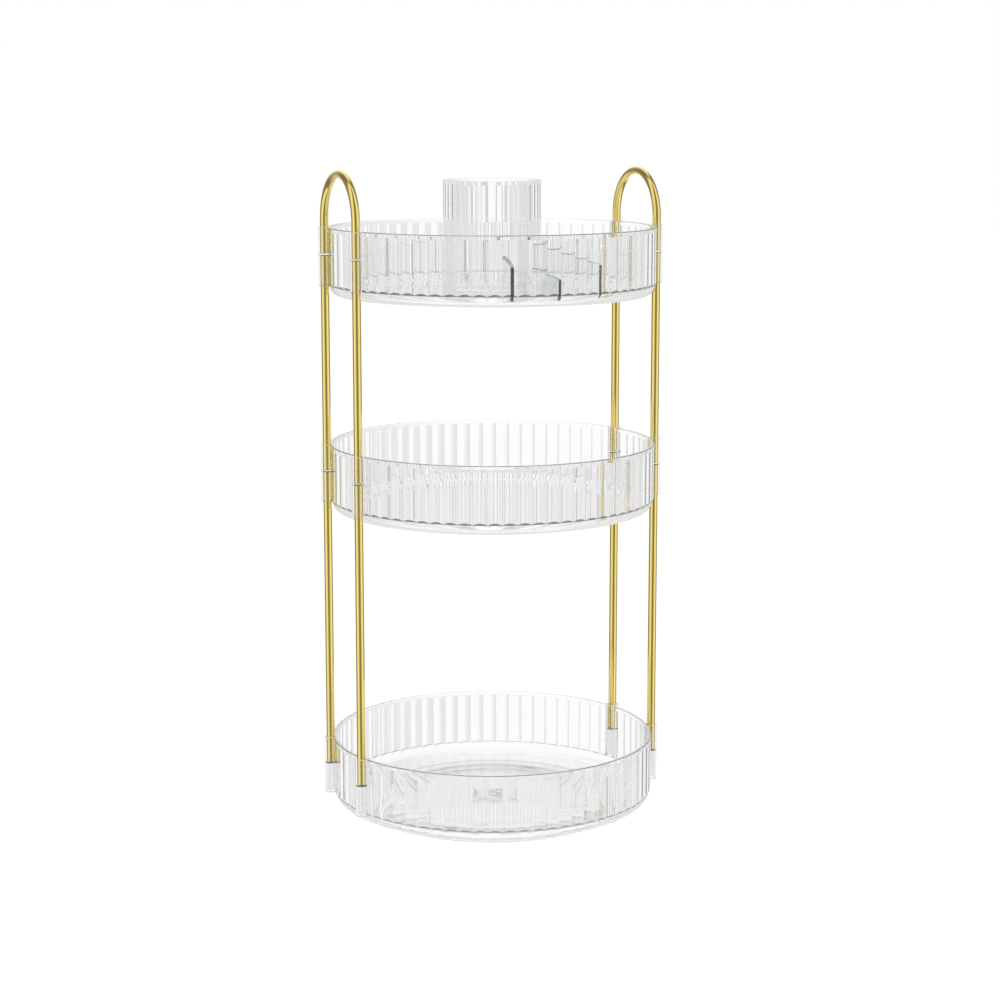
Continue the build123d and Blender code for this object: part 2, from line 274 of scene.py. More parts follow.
def boreRows(centreAngle, mouthLevel, endLevel):
    # Blind bore of a socket: chamfered mouth, straight wall, flat end.
    inward = math.copysign(socket["mouth"], endLevel - mouthLevel)
    rows = ringRows([(socket["bore"] + socket["mouth"], mouthLevel), (socket["bore"], mouthLevel + inward),
                     (socket["bore"], endLevel), (0, endLevel)], wholeTurn(socket["boreColumns"]))
    return rows + socket["circle"] * heading(centreAngle)


def makeTray(name, pivoted=False):
    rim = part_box(name)[1].z / mm
    under = rim - tray["depth"]
    floorTop = under + tray["floor"]
    lipBottom = rim - tray["lipHeight"]
    foot = under + tray["dishHeight"]
    crest = tray["radius"]
    valley = crest - tray["fluteDepth"]
    dish = valley - tray["dishStep"]
    inner = crest - tray["wall"]
    lip = crest + tray["lipProud"]
    shoulder = lip - dish
    rounding, corner, inside = tray["rimRound"], tray["dishCorner"], tray["insideCorner"]
    guard, rimRows = tray["guard"], tray["rimRows"]
    columns = trayColumns(dish)
    angles = columns[0]

    # Inside: floor, round corner up to the inner flutes, flutes, plain lip, rounded rim.
    hollow = fluteRadius(angles, inner - tray["innerFluteDepth"], inner, tray["flutes"])
    floor = ringRows([(0, floorTop), (inner - inside - guard, floorTop)], angles)
    turnUp = roundRows(angles, hollow, (inner - inside, floorTop + inside), inside, -90, tray["insideRows"])
    above = turnUp[-1] + (0, 0, guard)
    upper = withGuards(np.concatenate([
        [(inner, lipBottom)],
        arcPoints((inner + rounding, rim - rounding), rounding, 180, 90, rimRows)]), guard)
    bowl = np.concatenate([floor, turnUp, [above, wallRow(angles, hollow, lipBottom)],
                           ringRows(upper, angles)])

    # Outside: rounded rim, lip, flutes, and the shoulder that rounds off their foot.
    # Each row is described by a function from an angle to a radius and a height.
    def bandAt(level):
        return lambda a: (fluteRadius(a, valley, crest, tray["flutes"]), np.full(np.shape(a), level))

    def plainAt(radius, level):
        return lambda a: (np.full(np.shape(a), radius), np.full(np.shape(a), level))

    def shadeLineTopAt(a):
        # Top of the painted shade line: highest over the crests, at the given least share of that height at
        # the cusps.
        radius, level = shoulderAt(1)(a)
        rise = (radius - valley) / (crest - valley)
        return radius, level + tray["edgeHeight"] * (tray["edgeLeast"] + (1 - tray["edgeLeast"]) * rise)

    def shoulderAt(share):
        def place(a):
            reach = (fluteRadius(a, valley, crest, tray["flutes"]) - dish) / shoulder
            turn = -math.pi / 2 + share * (math.pi / 2 - np.arccos(reach))
            return dish + shoulder * np.cos(turn), foot + shoulder * (1 + np.sin(turn))
        return place

    outside = [outlineRow(columns, plainAt(*point))
               for point in arcPoints((lip - rounding, rim - rounding), rounding, 90, 0, rimRows)]
    outside.append(outlineRow(columns, plainAt(lip, lipBottom)))
    outside.append(outlineRow(columns, bandAt(lipBottom)))
    # This row bounds the painted shade line at the foot of the flutes.
    outside.append(outlineRow(columns, shadeLineTopAt))
    outside += [outlineRow(columns, shoulderAt(share))
                for share in np.linspace(1, 0, tray["shoulderRows"] + 1)]

    # Underside: dish corner and bottom, with the ball groove and the boss under the bottom tray.
    dishTurn = arcPoints((dish - corner, under + corner), corner, 0, -90, tray["dishRows"])
    if pivoted:
        level = under - pivot["trackBelow"]
        reach = math.degrees(math.asin(pivot["trackBelow"] / track["groove"]))
        groove = arcPoints((track["radius"], level), track["groove"], reach, 180 - reach, track["rows"])
        bossEnd = under - pivot["bossDepth"]
        holeEnd = bossEnd + pivot["screwDepth"]
        centre = [(pivot["bossRadius"], under), (pivot["bossRadius"], bossEnd),
                  (pivot["screwHole"], bossEnd), (pivot["screwHole"], holeEnd), (0, holeEnd)]
        dishProfile = np.concatenate([[(dish, foot)], dishTurn, groove, centre])
    else:
        dishProfile = np.concatenate([[(dish, foot)], dishTurn, [(0, under)]])

    stopTop = rim - socket["stopDepth"]
    sheets = [bowl, np.array(outside), ringRows(withGuards(dishProfile, guard), angles)]
    for angle in socket["angles"]:
        sheets.append(boreRows(angle, rim, stopTop))
        sheets.append(boreRows(angle, foot, stopTop - socket["stopThickness"]))
    piece = closedObject(f"{name}_clear", sheets, levels=(rim, foot))

    # Faces that get painted shade, a dark colour standing in for the shade that clear plastic shows at edges:
    # the small ones at the foot of the flutes (1), the outside of the rim (2), and the lower end of each
    # socket's web (3).
    slopeFrom, slopeTo = tray["rimSlope"]
    for face in piece.data.polygons:
        centre, radius = face.center / mm, face.center.xy.length / mm
        onWall = dish + tray["edgeFrom"] < radius < lip + tray["edgeTo"]
        low = foot + levelWithin < centre.z < foot + 2 * shoulder
        if onWall and low and face.area < tray["edgeArea"] * mm ** 2:
            face.material_index = 1
        elif onWall and centre.z > rim - rounding and slopeFrom < face.normal.z < slopeTo:
            face.material_index = 2
        elif abs(centre.z - stopTop + socket["stopThickness"]) < levelWithin:
            face.material_index = 3
    return piece


trays = {name: makeTray(name, name == "bottom_tray") for name in ("bottom_tray", "middle_tray", "top_tray")}
print("trays made")


# Brush cup

cup = {
    "radius": 34.2, "wall": 1.8, "floor": 2.0, "columnsPerFlute": 8,
    "flutes": 36, "fluteDepth": 0.5, "innerFluteDepth": 0.5,
    "lipHeight": 3.0, "lipProud": 0.15, "lipRound": 0.9,
    "footHeight": 3.0, "footStep": 0.4, "footRound": 1.5, "insideRound": 2.5, "guard": 0.4,
    "roundRows": 6, "insideRows": 8,
}


def makeCup():
    low, high = (corner.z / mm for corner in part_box("brush_cup"))
    crest = cup["radius"]
    valley = crest - cup["fluteDepth"]
    footRadius = valley - cup["footStep"]
    lip = crest + cup["lipProud"]
    inner = crest - cup["wall"]
    floorTop = low + cup["floor"]
    angles = wholeTurn(cup["flutes"] * cup["columnsPerFlute"])
    inside, rounding, turn = cup["insideRound"], cup["lipRound"], cup["footRound"]
    lipBottom = high - cup["lipHeight"]
    steps = cup["roundRows"]
    hollow = fluteRadius(angles, inner - cup["innerFluteDepth"], inner, cup["flutes"])
    band = fluteRadius(angles, valley, crest, cup["flutes"])
    floor = ringRows([(0, floorTop), (inner - inside - cup["guard"], floorTop)], angles)
    turnUp = roundRows(angles, hollow, (inner - inside, floorTop + inside), inside, -90, cup["insideRows"])
    above = turnUp[-1] + (0, 0, cup["guard"])
    upper = withGuards(np.concatenate([
        [(inner, lipBottom)],
        arcPoints((inner + rounding, high - rounding), rounding, 180, 90, steps),
        arcPoints((lip - rounding, high - rounding), rounding, 90, 0, steps),
        [(lip, lipBottom)],
    ]), cup["guard"])
    lower = withGuards(np.concatenate([
        [(footRadius, low + cup["footHeight"])],
        arcPoints((footRadius - turn, low + turn), turn, 0, -90, steps),
        [(0, low)],
    ]), cup["guard"])
    rows = np.concatenate([
        floor, turnUp, [above, wallRow(angles, hollow, lipBottom)], ringRows(upper, angles),
        [wallRow(angles, band, lipBottom), wallRow(angles, band, low + cup["footHeight"])],
        ringRows(lower, angles)])
    return closedObject("brush_cup_clear", [rows])


brushCup = makeCup()
print("cup made")


# Divider insert

divider = {
    "finThickness": 2.2, "ringInner": 34.75, "ringWall": 2.0, "ringHeight": 8.0,
    "root": 35.15, "tip": 111.4, "sideTip": 110.49, "toe": 5.2,
    "longHeights": (38.0, 23.9), "lowHeights": (21.9, 15.3),
    "frontAngle": 16.7, "sideAngle": 98.0, "crossRadius": 69.0, "crossThickness": 2.0,
    "toeRows": 10, "ringColumns": 144, "crossColumns": 16, "endFacing": 0.3, "topSlope": (0.5, 0.995),
}


def finObject(name, angle, root, tip, heights, low):
    # Flat fin: its outline in the (r, z) plane, pushed half a thickness to each side of its own angle.
    toe = divider["toe"]
    outline = np.concatenate([[(root, low)],
                              arcPoints((tip - toe, low + toe), toe, -90, 0, divider["toeRows"]),
                              [(tip, low + heights[1]), (root, low + heights[0])]])
    flat = outline[:, :1] * heading(angle) + outline[:, 1:] * np.array([0, 0, 1])
    aside = divider["finThickness"] / 2 * heading(angle + 90)
    step = np.arange(len(outline))
    faces = gridFaces(2, len(step), 0).tolist() + [step[::-1].tolist(), (step + len(step)).tolist()]
    return solidPart(name, np.concatenate([flat - aside, flat + aside]), faces)


def sectorObject(name, innerRadius, outerRadius, low, high, start, end, columns):
    # Upright curved wall between two radii, closed all round or ending at two angles.
    whole = end - start >= 360
    turn = np.radians(np.linspace(start, end, columns + 1))
    if whole:
        turn = turn[:-1]
    section = [(innerRadius, low), (outerRadius, low), (outerRadius, high), (innerRadius, high)]
    rows = np.array([[(r * math.cos(a), r * math.sin(a), z) for r, z in section] for a in turn])
    faces = gridFaces(len(turn), len(section), 0, wrapRows=whole).tolist()
    if not whole:
        corners = np.arange(len(section))
        faces += [corners[::-1].tolist(), (corners + (len(turn) - 1) * len(section)).tolist()]
    return solidPart(name, rows.reshape(-1, 3), faces)


def makeDivider():
    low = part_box("divider_insert")[0].z / mm
    d = divider
    pieces = [sectorObject("ring", d["ringInner"], d["ringInner"] + d["ringWall"], low,
                           low + d["ringHeight"], 0, 360, d["ringColumns"])]
    for side in (-1, 1):
        pieces.append(finObject(f"front_fin_{side}", -90 + side * d["frontAngle"], d["root"], d["tip"],
                                d["longHeights"], low))
        pieces.append(finObject(f"side_fin_{side}", -90 + side * d["sideAngle"], d["root"], d["sideTip"],
                                d["longHeights"], low))
    pieces.append(finObject("low_fin", -90, d["crossRadius"], d["tip"], d["lowHeights"], low))
    half = d["crossThickness"] / 2
    pieces.append(sectorObject("cross_wall", d["crossRadius"] - half, d["crossRadius"] + half, low,
                               low + d["lowHeights"][0], -90 - d["frontAngle"], -90 + d["frontAngle"],
                               d["crossColumns"]))
    piece = joined("divider_insert_clear", pieces)

    # Painted shade: the fins' ends (1) are painted near black and their sloping tops (2) dark grey, standing
    # in for how clear plastic darkens at cut edges.
    for face in piece.data.polygons:
        out = face.center.xy.normalized()
        beyond = face.center.xy.length / mm > d["sideTip"] - d["toe"]
        if beyond and face.normal.xy.dot(out) > d["endFacing"]:
            face.material_index = 1
        elif d["topSlope"][0] < face.normal.z < d["topSlope"][1]:
            face.material_index = 2
    return piece


dividerInsert = makeDivider()
print("dividers made")


# Gold tubes

gold = {"radius": 3.0, "wall": 0.7, "endRound": 0.2, "pastEnd": 0.6, "legStop": 3.0, "columns": 56,
        "bends": 72}


def tubeRows(path, sideways, radius):
    # Circles carried along a path that stays in the plane square to sideways:
    # point + radius (cos a * sideways + sin a * normal), the normal in the plane and square to the path.
    path = np.asarray(path, float)
    along = np.gradient(path, axis=0)
    along /= np.linalg.norm(along, axis=1)[:, None]
    normal = np.cross(along, sideways)
    turn = np.radians(wholeTurn(gold["columns"]))
    radius = np.broadcast_to(radius, len(path))[:, None, None]
    spin = np.cos(turn)[:, None] * np.asarray(sideways) + np.sin(turn)[:, None] * normal[:, None, :]
    return path[:, None, :] + radius * spin


def goldTube(name, path, sideways):
    # Hollow tube: outer rows up, rounded end, inner rows back down, joined into one closed skin.
    path = np.asarray(path, float)
    outer, rounding = gold["radius"], gold["endRound"]
    outerRadius = np.full(len(path), outer)
    outerRadius[[0, -1]] = outer - rounding
    rows = np.concatenate([tubeRows(path, sideways, outerRadius),
                           tubeRows(path, sideways, outer - gold["wall"])[::-1]])
    return closedObject(name, [rows], wrapRows=True)


def straightPath(spot, low, high):
    ease, past = gold["endRound"], gold["pastEnd"]
    levels = np.array([low, low + ease, low + past, high - past, high - ease, high])
    return np.column_stack([np.full(len(levels), spot[0]), np.full(len(levels), spot[1]), levels])


def archPath(x, halfSpan, low, high):
    # Up one leg, a half circle over the top, down the other leg.
    spring = high - gold["radius"] - halfSpan
    turn = np.radians(np.linspace(180, 0, gold["bends"] + 1))
    leg = np.array([low, low + gold["endRound"], low + gold["pastEnd"], spring - gold["legStop"]])
    aside = np.full(len(leg), halfSpan)
    y = np.concatenate([-aside, halfSpan * np.cos(turn), aside])
    z = np.concatenate([leg, spring + halfSpan * np.sin(turn), leg[::-1]])
    return np.column_stack([np.full(len(y), x), y, z])


goldTubes = {}
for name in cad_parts:
    if "_pole_" in name or name.endswith("_handle"):
        lowCorner, highCorner = (np.array(corner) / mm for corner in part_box(name))
        middle = (lowCorner + highCorner) / 2
        if name.endswith("_handle"):
            halfSpan = (highCorner[1] - lowCorner[1]) / 2 - gold["radius"]
            path = archPath(middle[0], halfSpan, lowCorner[2], highCorner[2])
        else:
            path = straightPath(middle, lowCorner[2], highCorner[2])
        goldTubes[name] = goldTube(f"{name}_gold", path, (1.0, 0.0, 0.0))
print("gold tubes made")


# Turntable base

base = {
    "radius": 90.0, "top": 6.5, "bottom": 1.0, "edgeRound": 1.2, "wall": 2.0, "ringRoof": 3.9,
    "ringInner": 67.0, "centreTop": 5.2, "centreBottom": 3.7, "hubInner": 7.1, "hubOuter": 14.0,
    "trackLevel": 7.5, "columns": 240,
    "ribs": 8, "ribThickness": 1.6, "ribBottom": 1.6,
    "feet": 4, "firstFoot": 45.0, "footBoss": 7.0, "footRecess": 5.1, "recessDepth": 0.8, "overlap": 0.3,
    "edgeRows": 6, "bossColumns": 48,
}


def makeBase():
    # A closed section turned about the axis, joined with plain ribs and turned foot bosses.
    b = base
    reach = math.degrees(math.asin((b["trackLevel"] - b["top"]) / track["groove"]))
    section = np.concatenate([
        [(b["hubInner"], b["centreBottom"]), (b["hubInner"], b["top"]), (b["hubOuter"], b["top"]),
         (b["hubOuter"], b["centreTop"]), (b["ringInner"], b["centreTop"]), (b["ringInner"], b["top"])],
        arcPoints((track["radius"], b["trackLevel"]), track["groove"], 180 + reach, 360 - reach,
                  track["rows"]),
        arcPoints((b["radius"] - b["edgeRound"], b["top"] - b["edgeRound"]), b["edgeRound"], 90, 0,
                  b["edgeRows"]),
        [(b["radius"], b["bottom"]), (b["radius"] - b["wall"], b["bottom"]),
         (b["radius"] - b["wall"], b["ringRoof"]), (b["ringInner"] + b["wall"], b["ringRoof"]),
         (b["ringInner"] + b["wall"], b["bottom"]), (b["ringInner"], b["bottom"]),
         (b["ringInner"], b["centreBottom"])],
    ])
    rows = ringRows(section, wholeTurn(b["columns"]))
    faces = gridFaces(len(section), b["columns"], 0, wrapRows=True).tolist()
    parts = [solidPart("plate", rows.reshape(-1, 3), faces)]
    inner, outer = b["hubOuter"] - b["wall"] / 2, b["ringInner"] + b["wall"] / 2
    half, ribTop = b["ribThickness"] / 2, b["centreBottom"] + b["overlap"]
    for index, angle in enumerate(wholeTurn(b["ribs"])):
        corners = np.array([radius * heading(angle) + side * half * heading(angle + 90)
                            for side, radius in ((-1, inner), (-1, outer), (1, outer), (1, inner))])
        points = np.concatenate([corners + (0, 0, level) for level in (b["ribBottom"], ribTop)])
        faces = [[0, 1, 2, 3], [4, 5, 6, 7]] + gridFaces(2, len(corners), 0).tolist()
        parts.append(solidPart(f"rib_{index}", points, faces))
    boss = [(0, b["ringRoof"] + b["overlap"]), (b["footBoss"], b["ringRoof"] + b["overlap"]),
            (b["footBoss"], b["bottom"]), (b["footRecess"], b["bottom"]),
            (b["footRecess"], b["bottom"] + b["recessDepth"]), (0, b["bottom"] + b["recessDepth"])]
    for index, angle in enumerate(b["firstFoot"] + wholeTurn(b["feet"])):
        rows = ringRows(boss, wholeTurn(b["bossColumns"])) + track["radius"] * heading(angle)
        faces = gridFaces(len(boss), b["bossColumns"], 0).tolist()
        parts.append(solidPart(f"boss_{index}", rows.reshape(-1, 3), faces))
    return joined("base_plate_clear", parts)


basePlate = makeBase()
print("base made")


# Materials

def newMaterial(name):
    material = bpy.data.materials.new(name)
    material.use_nodes = True
    tree = material.node_tree
    tree.nodes.clear()
    return material, tree


def addNode(tree, kind, inputs=None, **settings):
    # Adds a node, sets its properties and its inputs. An input may be a value or another node's output.
    node = tree.nodes.new(kind)
    for key, value in settings.items():
        setattr(node, key, value)
    for key, value in (inputs or {}).items():
        if isinstance(value, bpy.types.NodeSocket):
            tree.links.new(value, node.inputs[key])
        else:
            node.inputs[key].default_value = value
    return node


def mathNode(tree, operation, *values):
    return addNode(tree, "ShaderNodeMath", dict(enumerate(values)), operation=operation).outputs[0]


# A Light Path depth is a whole number. Over these limits it is at least one, two and three.
once, twice, thrice = 0.5, 1.5, 2.5


def pathOver(tree, path, depth, limit):
    # 1 where a Light Path depth is over the limit, 0 elsewhere.
    return mathNode(tree, "GREATER_THAN", path.outputs[depth], limit)


formed = {
    "start": {"Wave Scale": 60.0, "Mark Scale": 400.0, "Stretch": 1.0, "Fine Share": 0.2,
              "Smooth": 0.0, "Dull": 0.05},
    "waves": {"Detail": 1.0, "Roughness": 0.4}, "marks": {"Detail": 4.0, "Roughness": 0.6},
    "markFrom": 0.35, "markTo": 0.7,
}


def makeSurfaceGroup():
    # Shared by every finish: slow waves as left by flow in a mould or by drawing a tube, and fine marks.
    # Height = waves + Fine Share * marks. Roughness runs from Smooth to Dull with the marks.
    group = bpy.data.node_groups.new("formedSurface", "ShaderNodeTree")
    for name, start in formed["start"].items():
        group.interface.new_socket(name=name, in_out="INPUT",
                                   socket_type="NodeSocketFloat").default_value = start
    for name in ("Height", "Roughness", "Mask"):
        group.interface.new_socket(name=name, in_out="OUTPUT", socket_type="NodeSocketFloat")
    inside = addNode(group, "NodeGroupInput")
    place = addNode(group, "ShaderNodeTexCoord")
    split = addNode(group, "ShaderNodeSeparateXYZ", {0: place.outputs["Object"]})
    tall = mathNode(group, "DIVIDE", split.outputs["Z"], inside.outputs["Stretch"])
    spot = addNode(group, "ShaderNodeCombineXYZ", {
        "X": split.outputs["X"], "Y": split.outputs["Y"], "Z": tall})

    def noise(scale, kind):
        return addNode(group, "ShaderNodeTexNoise", {
            "Vector": spot.outputs[0], "Scale": inside.outputs[scale], **formed[kind]}).outputs["Fac"]

    waves, marks = noise("Wave Scale", "waves"), noise("Mark Scale", "marks")
    height = mathNode(group, "MULTIPLY_ADD", marks, inside.outputs["Fine Share"], waves)
    rough = addNode(group, "ShaderNodeMapRange", {
        "Value": marks, "From Min": formed["markFrom"], "From Max": formed["markTo"],
        "To Min": inside.outputs["Smooth"], "To Max": inside.outputs["Dull"]})
    addNode(group, "NodeGroupOutput", {"Height": height, "Roughness": rough.outputs[0], "Mask": waves})
    return group


formedSurface = makeSurfaceGroup()


def surfaceOf(tree, settings):
    # The shared group with this finish's own values, and a bump made from its height.
    group = addNode(tree, "ShaderNodeGroup", node_tree=formedSurface)
    for key, value in settings["surface"].items():
        group.inputs[key].default_value = value
    bump = addNode(tree, "ShaderNodeBump", {"Height": group.outputs["Height"], "Strength": settings["bump"],
                                            "Distance": settings["bumpDepth"] * mm})
    return group, bump


def makeMilky(name, settings):
    # Clouded plastic: part of the light goes straight in and out, the rest is scattered white.
    material, tree = newMaterial(name)
    group, bump = surfaceOf(tree, settings)
    surface = addNode(tree, "ShaderNodeBsdfPrincipled", {
        "Base Color": settings["colour"], "Roughness": group.outputs["Roughness"], "IOR": settings["ior"],
        "Transmission Weight": settings["clearness"], "Normal": bump.outputs[0]})
    addNode(tree, "ShaderNodeOutputMaterial", {"Surface": surface.outputs[0]})
    return material


def makeClear(name, settings):
    # Glass-like shader over a tinted inside, which lamps see through to the things behind it.
    # Light that keeps turning back inside a thin wall is let out after innerTurns, as cloudiness does.
    # The surface is mirror smooth, by which the sky tells what plastic mirrors from what gold mirrors.
    # What a tube in a socket mirrors goes straight out too, so that the tube looks there as it does outside.
    material, tree = newMaterial(name)
    bump = surfaceOf(tree, settings)[1]
    path = addNode(tree, "ShaderNodeLightPath")

    def glassy(colour):
        return addNode(tree, "ShaderNodeBsdfPrincipled", {
            "Base Color": colour, "Roughness": 0.0, "IOR": settings["ior"], "Transmission Weight": 1.0,
            "Normal": bump.outputs[0]})

    surface = glassy(settings["colour"])
    if "edge" in settings:
        # Painted shade: the edge line is painted dark where it is looked at directly, and plain where it lies
        # behind other plastic.
        surface = addNode(tree, "ShaderNodeMixShader", {
            0: pathOver(tree, path, "Transmission Depth", once),
            1: glassy(settings["edge"]).outputs[0], 2: surface.outputs[0]})
    through = addNode(tree, "ShaderNodeBsdfTransparent", {"Color": settings["shadow"]})
    mirrored = mathNode(tree, "SUBTRACT", path.outputs["Is Reflection Ray"], path.outputs["Is Singular Ray"])
    passed = mathNode(tree, "MULTIPLY", mathNode(tree, "MAXIMUM", mirrored, 0.0),
                      pathOver(tree, path, "Transmission Depth", twice))
    caught = pathOver(tree, path, "Glossy Depth", settings["innerTurns"])
    clear = mathNode(tree, "MAXIMUM", path.outputs["Is Shadow Ray"], caught)
    clear = mathNode(tree, "MAXIMUM", clear, passed)
    mix = addNode(tree, "ShaderNodeMixShader", {0: clear, 1: surface.outputs[0], 2: through.outputs[0]})
    tint = addNode(tree, "ShaderNodeVolumeAbsorption", {
        "Color": settings["tint"], "Density": settings["density"]})
    addNode(tree, "ShaderNodeOutputMaterial", {"Surface": mix.outputs[0], "Volume": tint.outputs[0]})
    return material


def makePlain(name, settings):
    # Opaque finish. The colour runs between two shades with the shared group's slow waves.
    material, tree = newMaterial(name)
    group, bump = surfaceOf(tree, settings)
    shade = addNode(tree, "ShaderNodeMix", {"Factor": group.outputs["Mask"]}, data_type="RGBA")
    shade.inputs["A"].default_value = settings["colour"]
    shade.inputs["B"].default_value = settings["colourToo"]
    colour = next(socket for socket in shade.outputs if socket.type == "RGBA")
    surface = addNode(tree, "ShaderNodeBsdfPrincipled", {
        "Base Color": colour, "Roughness": group.outputs["Roughness"], "Metallic": settings["metallic"],
        "Coat Weight": settings["coat"], "Coat Roughness": settings["coatRoughness"],
        "Normal": bump.outputs[0]})
    addNode(tree, "ShaderNodeOutputMaterial", {"Surface": surface.outputs[0]})
    return material


trayPlastic = {
    "ior": 1.49, "colour": (1.0, 1.0, 1.0, 1.0), "shadow": (0.97, 0.97, 0.97, 1.0),
    "tint": (0.80, 0.84, 0.86, 1.0), "density": 0.5, "innerTurns": 8.5, "bump": 0.25, "bumpDepth": 0.02,
    "surface": {"Wave Scale": 55.0, "Mark Scale": 500.0, "Fine Share": 0.03},
}
# Painted shade: dark and mid-grey colours for the shade lines on the trays' flute feet and rims.
darkPaintedShade = dict(trayPlastic, edge=(0.10, 0.11, 0.12, 1.0))
softPaintedShade = dict(trayPlastic, edge=(0.28, 0.29, 0.30, 1.0))
finPlastic = dict(trayPlastic, colour=(0.97, 0.975, 0.98, 1.0), density=15.0)
# Painted shade: near black for the fins' ends, dark grey for their sloping tops.
paintedFinEndShade = dict(trayPlastic, colour=(0.02, 0.02, 0.025, 1.0), density=20.0)
paintedFinTopShade = dict(trayPlastic, colour=(0.30, 0.31, 0.33, 1.0), density=20.0)
milkyPlastic = {
    "ior": 1.49, "colour": (1.0, 1.0, 1.0, 1.0), "clearness": 0.6, "bump": 0.15, "bumpDepth": 0.02,
    "surface": {"Wave Scale": 40.0, "Mark Scale": 700.0, "Fine Share": 0.2, "Smooth": 0.05, "Dull": 0.1},
}
goldPlating = {
    "colour": (0.80, 0.65, 0.20, 1.0), "colourToo": (0.76, 0.60, 0.17, 1.0), "metallic": 1.0,
    "coat": 0.5, "coatRoughness": 0.05, "bump": 0.03, "bumpDepth": 0.01,
    "surface": {"Wave Scale": 90.0, "Mark Scale": 900.0, "Stretch": 8.0, "Fine Share": 0.1,
                "Smooth": 0.08, "Dull": 0.14},
}
whitePlastic = {
    "colour": (0.88, 0.89, 0.90, 1.0), "colourToo": (0.85, 0.86, 0.87, 1.0), "metallic": 0.0,
    "coat": 0.0, "coatRoughness": 0.1, "bump": 0.1, "bumpDepth": 0.02,
    "surface": {"Wave Scale": 80.0, "Mark Scale": 900.0, "Fine Share": 0.3, "Smooth": 0.35, "Dull": 0.5},
}
# Painted shade: an opaque near-black finish on the lower end of each socket's web, standing in for the dark
# line seen there through the clear plastic.
paintedShadeForWebs = dict(whitePlastic, colour=(0.14, 0.14, 0.15, 1.0), colourToo=(0.11, 0.11, 0.12, 1.0))
footRubber = {
    "colour": (0.74, 0.75, 0.76, 1.0), "colourToo": (0.69, 0.70, 0.71, 1.0), "metallic": 0.0,
    "coat": 0.0, "coatRoughness": 0.5, "bump": 0.4, "bumpDepth": 0.06,
    "surface": {"Wave Scale": 200.0, "Mark Scale": 1500.0, "Fine Share": 0.8, "Smooth": 0.75, "Dull": 0.95},
}
plainSteel = {
    "colour": (0.95, 0.95, 0.95, 1.0), "colourToo": (0.92, 0.92, 0.92, 1.0), "metallic": 1.0,
    "coat": 0.0, "coatRoughness": 0.1, "bump": 0.15, "bumpDepth": 0.02,
    "surface": {"Wave Scale": 260.0, "Mark Scale": 1400.0, "Fine Share": 0.5, "Smooth": 0.45, "Dull": 0.65},
}


def dress(piece, name, materials, body):
    for material in materials:
        piece.data.materials.append(material)
    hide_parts(name)
    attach(piece, body)


clearTray = makeClear("clearTray", trayPlastic)
clearDarkPaintedShade, clearSoftPaintedShade = makeClear("clearDarkPaintedShade", darkPaintedShade), makeClear("clearSoftPaintedShade", softPaintedShade)
# Painted shade for the lower ends of the socket webs.
webEndPaintedShade = makePlain("webEndPaintedShade", paintedShadeForWebs)
clearCup = makeClear("clearCup", trayPlastic)
finSlots = [makeClear(*pair) for pair in (("clearFins", finPlastic), ("clearPaintedFinEndShade", paintedFinEndShade),
                                          ("clearPaintedFinTopShade", paintedFinTopShade))]
milkyBase = makeMilky("milkyBase", milkyPlastic)
goldTubing = makePlain("goldTubing", goldPlating)

for name, piece in trays.items():
    # The bottom tray's foot gets the mid-grey painted shade line, and the other trays get the dark one.
    foot = clearSoftPaintedShade if name == "bottom_tray" else clearDarkPaintedShade
    dress(piece, name, [clearTray, foot, clearDarkPaintedShade, webEndPaintedShade], "carousel")
dress(brushCup, "brush_cup", [clearCup], "cup")
dress(dividerInsert, "divider_insert", finSlots, "insert")
dress(basePlate, "base_plate", [milkyBase], "base")
for name, piece in goldTubes.items():
    dress(piece, name, [goldTubing], "carousel")

cagePlastic, rubber, steel = (makePlain(*pair) for pair in (
    ("cagePlastic", whitePlastic), ("footRubber", footRubber), ("plainSteel", plainSteel)))
for name, material in (("ball_cage", cagePlastic), ("bearing_balls", cagePlastic), ("rubber_feet", rubber),
                       ("pivot_washer", steel), ("pivot_screw", steel)):
    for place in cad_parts[name].material_slots:
        place.material = material
print("materials made")


# Floor, light and camera

studio = {
    "floorSize": 12.0, "floorGlow": 0.93, "floorColour": 0.12, "white": 1.0,
    "stripes": 15, "stripeTurn": 60.0, "stripeEdge": -0.3, "stripeDepth": 0.19,
    "fineStripes": (216, 144), "fineTurn": 66.7, "fineEdge": -0.5, "fineDepth": 0.55,
    "deepPlain": 0.7, "deepLift": 0.97,                  # what fine stripes lose of broad ones and of grey
    "plainDown": (-0.6, -0.4),                           # height of a direction where stripes begin
    "backdrop": 66.5, "backdropHalf": (4.0, 8.0), "backdropShare": 0.35,
    "greyFrom": 0.20, "greyTo": 0.42, "greyAbove": 0.4, "topFrom": 0.85, "topTo": 0.98, "topGlow": 0.8,
    "innerBounce": 0.5, "innerGlow": 0.8,
    "goldTurn": 311.55, "goldSides": 3, "goldDark": 0.25, "goldBright": 1.22,
}


